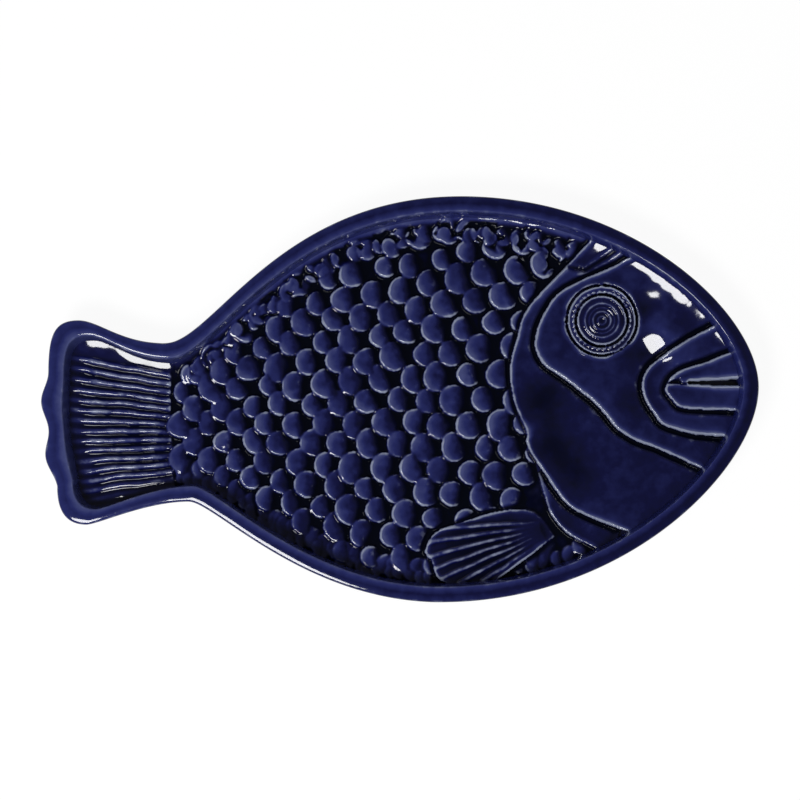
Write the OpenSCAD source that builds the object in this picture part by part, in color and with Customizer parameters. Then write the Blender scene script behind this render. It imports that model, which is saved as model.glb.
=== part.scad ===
// Fish shaped serving platter: a deep oval dish with a tail, a fish in relief on its floor.
// Millimetres. X runs from the tail (-) to the mouth (+), Y to the fish's back, Z up from the table.

/* [Platter] */
// Length over everything, tail to mouth
platter_l = 360; // [320:1:400]
// Width over everything, back to belly
platter_w = 204; // [188:1:228]
// Height from the table to the top of the lip
platter_h = 28; // [25:0.5:34]
// Thickness of the floor
floor_t = 6; // [4:0.5:8]
// Plan width from the outer edge to the floor of the well
rim_w = 8.8; // [7.6:0.2:11]
// Thickness of the rounded lip
lip_t = 7; // [5.6:0.2:7.4]

/* [Outline] */
// Height of the mouth's tip off the middle line
nose_y = 6; // [-6:0.5:14]
// Where the back is highest
back_x = 30.5; // [15:0.5:45]
// Where the belly is lowest
belly_x = 20.5; // [5:0.5:35]
// Width of the tail over its two corners
tail_w = 102.6; // [92:0.2:112]
// Width of the waist before the tail
waist_w = 79.6; // [72:0.2:86]
// Tail end to the waist, measured along the back
tail_l = 62; // [54:0.5:70]
// Depth of the lobes in the tail's end
lobe_d = 3.2; // [1:0.1:4.4]

/* [Foot] */
// Height of the foot ring
foot_h = 4; // [3:0.5:6]
// Radius of the foot ring's round ends
foot_r = 50; // [40:1:56]
// Distance between the centres of its round ends
foot_run = 96; // [70:1:110]
// Width of the foot ring
foot_w = 7; // [5:0.5:9]

/* [Scales] */
// Distance from one scale to the next along a row
scale_pitch = 14.6; // [13:0.1:17]
// Angle between two rows of the fan
row_angle = 1.56; // [1.4:0.02:1.9]
// Height of a scale at its free edge
scale_rise = 2.4; // [1.6:0.1:2.8]
// Clear space between two scales of a row
scale_gap = 0.5; // [0.3:0.1:1.2]

/* [Tail fan] */
// Number of rays in the tail
ray_n = 16; // [10:1:20]
// Radius of a ray
ray_r = 1.5; // [1:0.1:2]
// Thickness of the tail under its rays
tail_t = 1; // [0.6:0.1:2]

/* [Head] */
// Mouth to the gill cover's back edge
head_l = 124; // [118:1:130]
// Height of the gill cover at its crown
gill_h = 3.5; // [2.8:0.1:4.2]
// Height of the cheek at its crown
cheek_h = 6.4; // [5:0.1:7.4]
// Height of the lips
lip_h = 7.4; // [6.2:0.1:8.4]
// Mouth's tip to the eye's centre, as a share of the head's length
eye_back = 0.627; // [0.58:0.005:0.68]
// Eye's centre above the mouth's tip, as a share of the platter's width
eye_up = 0.167; // [0.147:0.005:0.182]
// Diameter over the eye's outer ring
eye_d = 36; // [30:0.5:38]

/* [Fin] */
// Length of the side fin
fin_l = 66; // [54:1:72]
// Number of rays in the fin
fin_n = 8; // [5:1:10]
// Thickness of the fin under its rays
fin_t = 2.4; // [1.6:0.1:3]

/* [Hidden] */
glaze = "#1d1f66";
clay = "#d9d0bf";
$fn = 96;
LEFT = [-1, 0];
RIGHT = [1, 0];
UP = [0, 1];
DOWN = [0, -1];
// points along one curve of the outline, and along the tail's end
curve_n = 18;
end_n = 28;
floor_z = foot_h + floor_t;
lip_r = lip_t / 2;
// underside edge: how far in from the outer edge, and the rounding there
base_in = 0.795 * rim_w;
base_round = 0.18 * rim_w;
// the tail's middle line, and its corners measured from the tail's end
tail_y = -platter_w / 17;
corner_top = 0.297 * tail_l;
corner_bottom = 0.371 * tail_l;
waist_slant = 0.198 * tail_l;
end_bow = 0.034 * tail_l;
end_slant = 0.079 * tail_l;
end_top_y = tail_y + 0.241 * tail_w;
end_bottom_y = tail_y - 0.312 * tail_w;
// share of each curve's span that it runs on straight: at its start, at its end
brow_full = [0.38, 0.59];
back_full = [0.62, 0.16];
tail_top_full = [0.51, 0.24];
corner_top_full = [0.85, 0.70];
corner_bottom_full = [0.45, 0.85];
tail_bottom_full = [0.12, 0.42];
belly_full = [0.10, 0.54];
jaw_full = [0.59, 0.37];

// Curves
function bezier(a, b, c, d, n) =
    [for (i = [0:n - 1])
        let (t = i / n, s = 1 - t)
        s * s * s * a + 3 * s * s * t * b + 3 * s * t * t * c + t * t * t * d];
function span(p, q, way) = abs((q - p) * way);
function sweep(p, p_way, q, q_way, full) =
    bezier(p, p + p_way * full[0] * span(p, q, p_way), q - q_way * full[1] * span(p, q, q_way), q, curve_n);
// a smooth line through points, n steps between two of them
function through(pts, n) =
    let (last = len(pts) - 1)
    [for (k = [0:last - 1])
        let (a = pts[k], d = pts[k + 1])
        let (va = (d - pts[max(k - 1, 0)]) / 6, vd = (pts[min(k + 2, last)] - a) / 6)
        each bezier(a, a + va, d - vd, d, n),
     pts[last]];

// The tail's end: lobes on a bowed line, which fade out further in
function tail_end(p, q, inset) =
    let (deep = lobe_d * max(0, 1 - inset / rim_w))
    [for (i = [0:end_n - 1])
        let (t = i / end_n, out = deep * pow(sin(360 * t), 2) + end_bow * sin(180 * t))
        p + (q - p) * t + LEFT * out];

// The platter's outline, drawn in by an inset; runs from the mouth over the back to the tail
function outline(inset) =
    let (end_x = -platter_l / 2 + lobe_d + end_bow * sin(45) - end_slant / 4)
    let (nose = [platter_l / 2 - inset, nose_y])
    let (back = [back_x, platter_w / 2 - inset])
    let (waist_a = [-platter_l / 2 + tail_l + inset / 4, tail_y + waist_w / 2 - inset])
    let (corner_a = [-platter_l / 2 + corner_top + 0.6 * inset, tail_y + tail_w / 2 - inset])
    let (end_a = [end_x + inset, end_top_y - 0.4 * inset])
    let (end_b = [end_x + end_slant + inset, end_bottom_y + 0.4 * inset])
    let (corner_b = [-platter_l / 2 + corner_bottom + 0.6 * inset, tail_y - tail_w / 2 + inset])
    let (waist_b = [-platter_l / 2 + tail_l + waist_slant + inset / 4, tail_y - waist_w / 2 + inset])
    let (belly = [belly_x, -platter_w / 2 + inset])
    concat(
        sweep(nose, UP, back, LEFT, brow_full),
        sweep(back, LEFT, waist_a, LEFT, back_full),
        sweep(waist_a, LEFT, corner_a, LEFT, tail_top_full),
        sweep(corner_a, LEFT, end_a, DOWN, corner_top_full),
        tail_end(end_a, end_b, inset),
        sweep(end_b, DOWN, corner_b, RIGHT, corner_bottom_full),
        sweep(corner_b, RIGHT, waist_b, RIGHT, tail_bottom_full),
        sweep(waist_b, RIGHT, belly, RIGHT, belly_full),
        sweep(belly, RIGHT, nose, UP, jaw_full));

// A point of the head, from the mouth's tip: hundredths of the head's length back, and of the width up
function head(back, up) = [platter_l / 2 - back * head_l / 100, nose_y + up * platter_w / 100];

// Lines of the relief
gill_line = through([
    head(50, 52.9), head(68.5, 35.9), head(91.9, 20.9), head(97.2, 12.7), head(100, 5.9),
    head(98.8, -3.2), head(93.5, -10.8), head(93.5, -14), head(86.3, -21.4), head(75.8, -29.5),
    head(62.9, -33.3), head(41.9, -38.2), head(16.1, -47.1)], 4);
cheek_line = through([
    head(32.3, 40.2), head(51.6, 32), head(71, 26.9), head(83.9, 21.7), head(89.9, 12.7),
    head(87.1, 6.4), head(75.8, 1), head(64.5, -4.7), head(54, -11.6), head(37.1, -16),
    head(20.2, -20.7), head(3.2, -26.5)], 4);
nape_line = [head(85.5, 31.4), head(69.3, 29.7), head(43.5, 39.2)];
fold_line = through([
    head(90.3, -17.6), head(85, -29), head(78.2, -35.6), head(65.3, -39.8), head(48.4, -44.1)], 4);
outer_lip_line = through([
    head(0, 20.6), head(22.7, 13.8), head(37.1, 8.3), head(45.6, 3.4), head(46.1, -1.5),
    head(42.1, -6.4), head(35.9, -10.1), head(11, -12.5), head(-6.5, -13.7)], 4);
inner_lip_line = through([
    head(-4.8, 12.7), head(19.4, 6.7), head(31.9, 4.1), head(37.3, -0.2), head(34.4, -3.2),
    head(28.8, -5.2), head(5.6, -5.9), head(-6.5, -5.9)], 4);
mouth_line = [
    head(30.2, 1.2), head(16.1, 1.8), head(-6.5, 2.1), head(-6.5, 0.6), head(16.1, 0.6)];
eye_at = head(100 * eye_back, 100 * eye_up);
tail_root_a = [-platter_l / 2 + 1.03 * tail_l, 0.3 * platter_w];
tail_root_b = [-platter_l / 2 + 1.03 * tail_l, tail_y];
tail_root_c = [-platter_l / 2 + 1.13 * tail_l, -0.44 * platter_w];
tail_line = through([tail_root_a, tail_root_b, tail_root_c], 6);
// the side fin: its root by the gill cover, its tip towards the tail
fin_root = head(81.8, -34.3);
fin_line = through([
    fin_root + fin_l * [0, -0.08], fin_root + fin_l * [-0.16, 0.11], fin_root + fin_l * [-0.43, 0.115],
    fin_root + fin_l * [-0.88, -0.03], fin_root + fin_l * [-1, -0.18], fin_root + fin_l * [-0.95, -0.27],
    fin_root + fin_l * [-0.88, -0.42], fin_root + fin_l * [-0.6, -0.485], fin_root + fin_l * [-0.32, -0.32],
    fin_root + fin_l * [0, -0.08]], 4);

// Whether a point lies in a closed line, and how far it is from a line
function inside(p, pts) =
    len([for (i = [0:len(pts) - 1])
        let (a = pts[i], b = pts[(i + 1) % len(pts)])
        let (t = (p[1] - a[1]) / (b[1] - a[1]))
        if ((a[1] > p[1]) != (b[1] > p[1]) && p[0] < a[0] + t * (b[0] - a[0])) 1])
    % 2 == 1;
function near(p, a, b) =
    let (t = max(0, min(1, (p - a) * (b - a) / ((b - a) * (b - a)))))
    norm(p - a - (b - a) * t);
function reach(p, pts) = min([for (i = [0:len(pts) - 2]) near(p, pts[i], pts[i + 1])]);

// Closed areas: right of the gill cover's edge, right of the cheek's edge, and so on
far = platter_l;
gill_area = concat(gill_line, [[far, -far], [far, far]]);
cheek_area = concat(cheek_line, [[far, -far], [far, far]]);
nape_area = concat(nape_line, [[far, far], [-far, far], [-far, 0.44 * platter_w]]);
fold_area = concat(fold_line, [[far, -far], [far, 0]]);
outer_lip_area = concat(outer_lip_line, [head(-300, -15), head(-300, 20)]);
inner_lip_area = concat(inner_lip_line, [head(-300, -6), head(-300, 13)]);
tail_area = concat(tail_line, [[-far, tail_root_c[1]], [-far, tail_root_a[1]]]);
// above the mouth's slit, and below it
upper_area = concat([head(48.4, 0.9), head(30.2, 0.9), head(-6.5, 1.3)], [[far, far], [-far, far]]);

module well() {
    polygon(outline(rim_w));
}

// What caps a plate: a ball, or a roller that lies along Y, whose top stands at a height over one point
module dome(at, height, radius) {
    translate([at[0], at[1], floor_z + height - radius])
        sphere(r = radius, $fn = 256);
}

module arch(at, height, radius) {
    translate([at[0], at[1], floor_z + height - radius])
        rotate([90, 0, 0])
            cylinder(r = radius, h = platter_w, center = true, $fn = 256);
}

// A plate's area on the floor, kept inside the well and raised
module slab(height) {
    translate([0, 0, floor_z])
        linear_extrude(height)
            intersection() {
                well();
                children();
            }
}

// The dish: one closed wall drawn from the underside over the lip and down to the floor
module dish() {
    turns = [-24, 0, 30, 60, 90, 120, 150, 172];
    profile = concat(
        [[base_in + base_round, foot_h], [base_in, foot_h + base_round]],
        [for (a = turns) [lip_r - lip_r * cos(a), platter_h - lip_r + lip_r * sin(a)]],
        [[rim_w, floor_z]]);
    rings = [for (p = profile) outline(p[0])];
    n = len(rings[0]);
    m = len(profile);
    // the two flat faces close onto a middle line, which stops short of mouth and tail
    first = 5;
    last = 3 * curve_n - 2;
    rail = last - first + 1;
    wall_pts = [for (k = [0:m - 1]) for (p = rings[k]) [p[0], p[1], profile[k][1]]];
    mid_pts = [for (k = [0, m - 1]) for (i = [first:last])
        let (p = (rings[k][i] + rings[k][n - i]) / 2)
        [p[0], p[1], profile[k][1]]];
    wall_faces = [for (k = [0:m - 2]) for (i = [0:n - 1])
        let (j = (i + 1) % n)
        each [[k * n + i, k * n + n + i, k * n + n + j], [k * n + i, k * n + n + j, k * n + j]]];
    under_faces = [for (i = [0:n - 1])
        let (j = (i + 1) % n, a = m * n + rail_of(i, n, first, last), b = m * n + rail_of(j, n, first, last))
        each concat([[i, j, b]], a == b ? [] : [[i, b, a]])];
    floor_faces = [for (i = [0:n - 1])
        let (j = (i + 1) % n, top = (m - 1) * n, mid = m * n + rail)
        let (a = mid + rail_of(i, n, first, last), b = mid + rail_of(j, n, first, last))
        each concat([[top + j, top + i, b]], a == b ? [] : [[top + i, a, b]])];
    color(glaze)
        polyhedron(points = concat(wall_pts, mid_pts), faces = concat(wall_faces, under_faces, floor_faces));
}
function rail_of(i, n, first, last) = min(max(min(i, n - i), first), last) - first;

// The foot: a bare clay ring with straight sides and round ends
module foot_ring() {
    half = foot_w / 2;
    slope = foot_w / 8;
    middle = (back_x + belly_x) / 2;
    section = [[-half, foot_h], [slope - half, 0], [half - slope, 0], [half, foot_h]];
    color(clay)
        translate([middle, 0, 0])
            union() {
                for (side = [0, 180])
                    rotate([0, 0, side]) {
                        translate([foot_run / 2, 0, 0])
                            rotate([0, 0, -90])
                                rotate_extrude(angle = 180)
                                    translate([foot_r, 0])
                                        polygon(section);
                        translate([-foot_run / 2, foot_r, 0])
                            rotate([90, 0, 90])
                                linear_extrude(foot_run)
                                    polygon(section);
                    }
            }
}

// One scale: a round button cut on a slant, high at its free edge and low at its root
module scale_button(radius, rise) {
    root = rise * 0.2;
    lean = atan2(rise - root, 2 * radius);
    difference() {
        cylinder(r = radius, h = rise);
        translate([0, 0, (rise + root) / 2])
            rotate([0, lean, 0])
                translate([-2 * radius, -2 * radius, 0])
                    cube([4 * radius, 4 * radius, 2 * rise]);
    }
}

// The flank between tail, gill cover, throat and side fin
module flank() {
    difference() {
        translate([-far / 2, -far / 2])
            square(far);
        polygon(gill_area);
        polygon(fold_area);
        polygon(fin_line);
        polygon(tail_area);
    }
}

// The scales: a staggered fan spread from a point behind the tail, on a thin bed, cut at the flank's edges
module scales() {
    first_r = 16 * scale_pitch;
    fan_at = [-platter_l / 2 - first_r - scale_pitch / 5, tail_y];
    rows = 13;
    cols = 21;
    bed_t = scale_rise / 5;
    wall = outline(rim_w);
    edge = concat(wall, [wall[0]]);
    wobble = rands(-1, 1, 4 * (2 * rows + 1) * cols, 11);
    color(glaze)
        union() {
            slab(bed_t)
                flank();
            intersection() {
                slab(2 * scale_rise)
                    flank();
                for (row = [-rows:rows])
                    for (col = [0:cols - 1]) {
                        pick = 4 * ((row + rows) * cols + col);
                        step = col + (row % 2 == 0 ? 0 : 0.5) + 0.024 * wobble[pick];
                        run = first_r + step * scale_pitch;
                        turn = row * row_angle + 0.035 * wobble[pick + 1];
                        at = fan_at + run * [cos(turn), sin(turn)];
                        row_gap = run * row_angle * PI / 180;
                        full_r = min((scale_pitch - scale_gap) / 2, 0.535 * norm([scale_pitch / 2, row_gap]));
                        radius = full_r * (0.96 + 0.04 * wobble[pick + 2]);
                        room = min(reach(at, edge), reach(at, gill_line), reach(at, fold_line),
                                   reach(at, fin_line), reach(at, tail_line));
                        if (room > 0.3 * radius && inside(at, wall) && !inside(at, gill_area)
                                && !inside(at, fold_area) && !inside(at, fin_line) && !inside(at, tail_area))
                            translate([at[0], at[1], floor_z])
                                rotate([0, 0, turn])
                                    scale_button(radius, scale_rise * (0.85 + 0.12 * wobble[pick + 3]));
                    }
            }
        }
}

// The tail: a thin plate with rays that spread towards its end
module tail_fan() {
    fan_run = 2.65 * tail_l;
    fan_at = [tail_root_b[0] + fan_run, tail_y - 0.06 * tail_w];
    spread = 2 * atan2(0.408 * tail_w, fan_run + tail_l);
    near_end = 2.42 * tail_l;
    color(glaze)
        intersection() {
            translate([0, 0, floor_z])
                linear_extrude(tail_t + 2 * ray_r)
                    intersection() {
                        well();
                        polygon(tail_area);
                    }
            union() {
                translate([-far, -far, floor_z])
                    cube([2 * far, 2 * far, tail_t]);
                for (k = [0:ray_n - 1])
                    translate([fan_at[0], fan_at[1], floor_z + tail_t])
                        rotate([0, 0, 180 + spread * (0.5 - k / (ray_n - 1))])
                            translate([near_end, 0, 0])
                                rotate([0, 90, 0])
                                    cylinder(r = ray_r, h = 1.2 * tail_l);
            }
        }
}

// A plate of the head: its area on the floor, raised and then capped by a ball
module plate(at, height, radius) {
    intersection() {
        slab(1.2 * height)
            children();
        dome(at, height, radius);
    }
}

// The gill cover: a crescent behind and under the cheek
module gill_cover() {
    color(glaze)
        intersection() {
            slab(1.2 * gill_h)
                difference() {
                    polygon(gill_area);
                    polygon(cheek_area);
                    polygon(nape_area);
                }
            arch(head(69.4, 0), gill_h, 1.6 * platter_l);
        }
}

// The nape: the short plate over the gill cover, against the back
module nape() {
    color(glaze)
        plate(head(60.5, 33.3), 0.68 * gill_h, 0.83 * platter_l)
            intersection() {
                difference() {
                    polygon(gill_area);
                    polygon(cheek_area);
                }
                polygon(nape_area);
            }
}

// The cheek: the highest plate, with a round socket for the eye
module cheek() {
    color(glaze)
        difference() {
            plate(head(53.2, 7.8), cheek_h, 1.44 * platter_l)
                difference() {
                    polygon(cheek_area);
                    polygon(outer_lip_area);
                }
            translate([eye_at[0], eye_at[1], floor_z - floor_t / 6])
                cylinder(d = eye_d, h = 1.5 * cheek_h);
        }
}

// The eye's outer ring: a flat collar with a ridge and a row of beads
module eye_ring() {
    base = 0.81 * cheek_h;
    hole = eye_d * 0.37;
    bead_r = eye_d / 45;
    color(glaze)
        translate([eye_at[0], eye_at[1], floor_z]) {
            rotate_extrude() {
                translate([hole, 0])
                    square([eye_d * 0.486 - hole, base]);
                translate([eye_d * 0.458, base])
                    circle(r = eye_d / 36, $fn = 48);
            }
            for (k = [0:27])
                rotate([0, 0, k * 360 / 28])
                    rotate_extrude(angle = 8)
                        translate([eye_d * 0.42, base])
                            circle(r = bead_r, $fn = 48);
        }
}

// The eye: a low turned disc of rings around a dimpled pupil
module eye() {
    base = 0.86 * cheek_h;
    rim = eye_d * 0.359;
    rings = [0.93, 0.74, 0.55, 0.37];
    color(glaze)
        translate([eye_at[0], eye_at[1], floor_z])
            difference() {
                rotate_extrude() {
                    square([rim, base]);
                    for (r = rings)
                        translate([rim * r, base])
                            circle(r = eye_d / 45, $fn = 48);
                    translate([0, base])
                        square([rim * 0.2, eye_d / 51]);
                }
                translate([0, 0, base + eye_d / 26])
                    sphere(r = eye_d / 26, $fn = 64);
            }
}

// The outer lip: a fold that runs round the mouth
module outer_lip() {
    color(glaze)
        plate(head(32.3, 1), lip_h, 1.39 * platter_l)
            difference() {
                polygon(outer_lip_area);
                polygon(inner_lip_area);
            }
}

// The upper and lower lip, on either side of the mouth's slit
module upper_lip() {
    color(glaze)
        plate(head(24.2, 3.4), 1.115 * lip_h, 0.83 * platter_l)
            difference() {
                intersection() {
                    polygon(inner_lip_area);
                    polygon(upper_area);
                }
                polygon(mouth_line);
            }
}

module lower_lip() {
    color(glaze)
        plate(head(21, -2.5), 1.115 * lip_h, 0.83 * platter_l)
            difference() {
                polygon(inner_lip_area);
                polygon(upper_area);
                polygon(mouth_line);
            }
}

// The throat fold: a low wedge under the gill cover
module throat_fold() {
    color(glaze)
        plate(head(75.8, -31.4), 0.51 * gill_h, 0.556 * platter_l)
            difference() {
                polygon(fold_area);
                polygon(gill_area);
                polygon(fin_line);
            }
}

// The side fin: a thin plate with rays that meet at its root
module fin() {
    ray_w = fin_t / 2;
    ray_root = fin_root + fin_l * [0.12, 0.045];
    color(glaze)
        intersection() {
            translate([0, 0, floor_z])
                linear_extrude(fin_t + ray_w)
                    difference() {
                        intersection() {
                            well();
                            polygon(fin_line);
                        }
                        polygon(gill_area);
                    }
            union() {
                translate([-far, -far, floor_z])
                    cube([2 * far, 2 * far, fin_t]);
                for (k = [0:fin_n - 1])
                    translate([ray_root[0], ray_root[1], floor_z + fin_t])
                        rotate([0, 0, 180 + 4 + 36 * k / (fin_n - 1)])
                            translate([0.24 * fin_l, 0, 0])
                                rotate([0, 90, 0])
                                    cylinder(r = ray_w, h = fin_l);
            }
        }
}

dish();
foot_ring();
scales();
tail_fan();
gill_cover();
nape();
cheek();
eye_ring();
eye();
outer_lip();
upper_lip();
lower_lip();
throat_fold();
fin();
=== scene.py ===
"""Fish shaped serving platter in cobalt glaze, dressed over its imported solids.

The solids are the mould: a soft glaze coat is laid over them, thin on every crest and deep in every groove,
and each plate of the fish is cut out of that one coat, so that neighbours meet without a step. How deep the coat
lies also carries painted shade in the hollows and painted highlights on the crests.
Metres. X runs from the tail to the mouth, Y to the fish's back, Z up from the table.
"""

import math

import bmesh
import bpy
import numpy as np
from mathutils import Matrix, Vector
from mathutils.geometry import delaunay_2d_cdt
from mathutils.kdtree import KDTree


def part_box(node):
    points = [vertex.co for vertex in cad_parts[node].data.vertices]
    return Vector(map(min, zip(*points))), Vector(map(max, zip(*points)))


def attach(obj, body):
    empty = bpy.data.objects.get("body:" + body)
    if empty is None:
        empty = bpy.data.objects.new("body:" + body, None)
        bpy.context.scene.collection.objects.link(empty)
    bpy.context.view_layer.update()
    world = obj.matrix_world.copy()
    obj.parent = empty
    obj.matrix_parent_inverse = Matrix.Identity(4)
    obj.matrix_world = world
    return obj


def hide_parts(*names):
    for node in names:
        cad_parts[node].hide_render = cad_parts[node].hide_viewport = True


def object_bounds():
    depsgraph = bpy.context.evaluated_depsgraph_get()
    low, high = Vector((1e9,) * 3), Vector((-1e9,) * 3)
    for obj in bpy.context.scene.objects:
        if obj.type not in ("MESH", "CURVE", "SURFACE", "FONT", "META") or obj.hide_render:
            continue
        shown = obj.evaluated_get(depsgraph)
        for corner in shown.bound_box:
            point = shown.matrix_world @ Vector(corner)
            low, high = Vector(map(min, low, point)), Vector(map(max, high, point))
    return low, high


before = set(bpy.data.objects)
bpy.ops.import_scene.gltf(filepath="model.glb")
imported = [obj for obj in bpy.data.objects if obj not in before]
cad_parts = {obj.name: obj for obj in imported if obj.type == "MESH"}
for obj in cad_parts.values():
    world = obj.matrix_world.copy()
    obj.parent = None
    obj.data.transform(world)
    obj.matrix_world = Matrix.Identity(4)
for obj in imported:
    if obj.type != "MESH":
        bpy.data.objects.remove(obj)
CAD_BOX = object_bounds()

bl_info = {
    "name": "Fish platter",
    "version": (1, 0, 0),
    "blender": (4, 5, 0),
    "location": "View3D > Sidebar > Platter",
    "description": "Glazes the fish shaped platter over its solids and sets it on a plain stage",
    "category": "Object",
}

MM = 0.001
FLOOR_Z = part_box("scales")[0].z
FOOT_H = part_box("dish")[0].z
TAIL_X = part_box("dish")[0].x
NOSE_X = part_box("dish")[1].x
TOP_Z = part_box("dish")[1].z

# plates of the relief, each lying over those before it; a plate's rank is its place here, and the flank has rank 0
PLATES = ["tail_fan", "fin", "throat_fold", "gill_cover", "nape", "cheek", "eye_ring", "eye", "outer_lip",
          "upper_lip", "lower_lip"]
EYE_PLATES = ["eye", "eye_ring"]
# plates with a carved edge: a groove outside it and a bead along it
EDGED = [name for name in PLATES if name not in ("tail_fan", "eye")]
# broad swells and hollows of the modelled fish: a place in a plate's box, then reach, rise and pooling in mm; the
# pooling paints the glaze darker, or paler below zero, partly as glaze pooled in a hollow and partly as painted shade
# and painted light
SWELLS = [
    ("cheek", 1.056, 1.153, 83.8, 10.0, 0.0), ("cheek", 0.55, 0.743, 15.6, -1.5, 0.0),
    ("cheek", 0.661, 0.655, 15.3, 1.8, 0.0), ("cheek", 0.769, 0.56, 16.1, 1.8, 0.0),
    ("cheek", 0.576, 0.539, 18.2, -1.6, 0.0), ("cheek", 0.56, 0.33, 18, -0.3, 0.5),
    ("gill_cover", 0.166, 0.466, 20, -0.5, 0.7), ("gill_cover", 0.224, 0.301, 20, -0.5, 0.7),
    ("gill_cover", 0.338, 0.199, 18, -0.4, 0.6), ("gill_cover", 0.10, 0.365, 9, 0.3, -0.5),
    ("gill_cover", 0.18, 0.15, 9, 0.3, -0.5), ("fin", 0.5, 0.45, 44, 0.0, 0.4),
    ("fin", 1.02, 0.85, 20, 0.0, 0.4), ("scales", 0.93, 1.0, 62, 3.5, 0.0),
    ("scales", 0.28, 0.12, 70, 0.0, 0.4)]
# turned rings of the eye: share of its outer radius, height in mm, count of beads
EYE_RINGS = [(0.12, 0.7, 0), (0.26, 1.0, 0), (0.37, 0.7, 0), (0.49, 1.0, 0), (0.57, 0.5, 40), (0.69, 1.0, 0),
             (0.84, 0.9, 34), (0.97, 1.2, 0)]
RING_W = 1.0 * MM
# a bead's height along its ring: mean and swing, as shares of the ring's
BEADS = (0.6, 0.4)
# where the fin's root lies in its box
FIN_ROOT = ("fin", 1.0, 0.85)

# spans of the irregularities: straying edges and lumps, pooling behind scales, worn scales, pits of the fringe
LUMP_SPAN, ROOT_SPAN, WORN_SPAN, PIT_SPAN = 20 * MM, 4 * MM, 16 * MM, 7 * MM
# ranges in the coat, as the start and the end of a measure and then the value at either
# share of a scale from its free edge to its root: how far the root fills, how far the edge thins; the root's darkening
# is partly pooled glaze and partly painted shade on the side away from the lamp, and the pale edge partly painted light
ROOT_FILL_AND_SHADE = (0.62, 1.25, -0.1, 1.0)
EDGE_THIN = (0.2, 0.75, -0.8 * MM, 0.0)
# distance from the middle line to where the back's fringe is full, and from the wall to where it ends
BACK = (0.0, 40 * MM)
FRINGE = (0.5 * MM, 5.5 * MM)
FRINGE_POOL = -0.8 * MM
# a pit from its brim to its floor, its distance from the wall, and the band of pits that widens towards the gills
PIT = (0.5, 0.62, 0.0)
PIT_START = (1.5 * MM, 3.5 * MM)
PIT_BAND = (20 * MM, 85 * MM, 12 * MM, 26 * MM)
PIT_END = 4 * MM
# how much of a worn scale stays, and of the fin from its root on
WORN = (0.3, 0.6, 0.6, 1.0)
FIN_SUNK = (0.0, 30 * MM, 0.1, 1.0)
# how far pooling by form counts where glaze has run together already, and the part of it that is far off
RUN_TOGETHER = (0.0, 0.05 * MM, 1.0, 0.7)
FAR_SHARE = 0.35
# a test on ranks between two whole numbers
HALF = 0.5
# height from which the mould is felt for
RAY_Z = 0.2

# one scale, with a radius of 1: sides, middle, and its rings' radii and heights
BUTTON_SIDES = 16
BUTTON_TOP = 0.85
BUTTON_RINGS = ((0.3, 1.0), (0.6, 1.0), (0.82, 1.0), (0.95, 1.02), (1.0, 0.86), (1.03, -0.4))
# how far it falls along a radius, where the slant to its root starts and ends, and the root's height
BUTTON_FALL, BUTTON_SLANT, BUTTON_ROOT = 0.12, (0.05, 0.95), 0.01
# the scales' fan: rows to either side, scales in a row, pitches from its hub to the first scale, the hub's Y
FAN_ROWS, FAN_COLS, FAN_START, FAN_Y = 14, 22, 16, -12 * MM
# how scales vary, as a mean and a swing: size, height to width, rise, turn
FAN_SIZE, FAN_TALL, FAN_RISE, FAN_TURN = (0.92, 0.13), (1.0, 0.1), (0.85, 0.2), (math.radians(8), 0.26)
# rows of small scales along the wall: inset and share of a full scale
HEM_ROWS = ((3.4 * MM, 0.5), (7.8 * MM, 0.6))
HEM_STEP = 7.5 * MM
# how they vary: size, rise by the back, rise by the belly, turn
HEM_SIZE, HEM_BACK, HEM_BELLY, HEM_TURN = (1.0, 0.18), (0.72, 0.12), (0.5, 0.12), (math.radians(8), 0.4)


def linear(hex_colour):
    """An sRGB hex colour as linear RGBA."""
    channels = [int(hex_colour[i:i + 2], 16) / 255 for i in (1, 3, 5)]
    return [c / 12.92 if c <= 0.04045 else ((c + 0.055) / 1.055) ** 2.4 for c in channels] + [1.0]


def size_of(name, default, text):
    """A length in metres that a user may change."""
    return bpy.props.FloatProperty(name=name, description=text, default=default, unit="LENGTH", precision=5)


def count_of(name, default, text):
    """A whole number that a user may change."""
    return bpy.props.IntProperty(name=name, description=text, default=default)


def colour_of(name, default, text):
    """A colour that a user may change, from its sRGB hex value."""
    return bpy.props.FloatVectorProperty(name=name, description=text, default=linear(default), size=4,
                                         subtype="COLOR", min=0, max=1)


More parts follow.
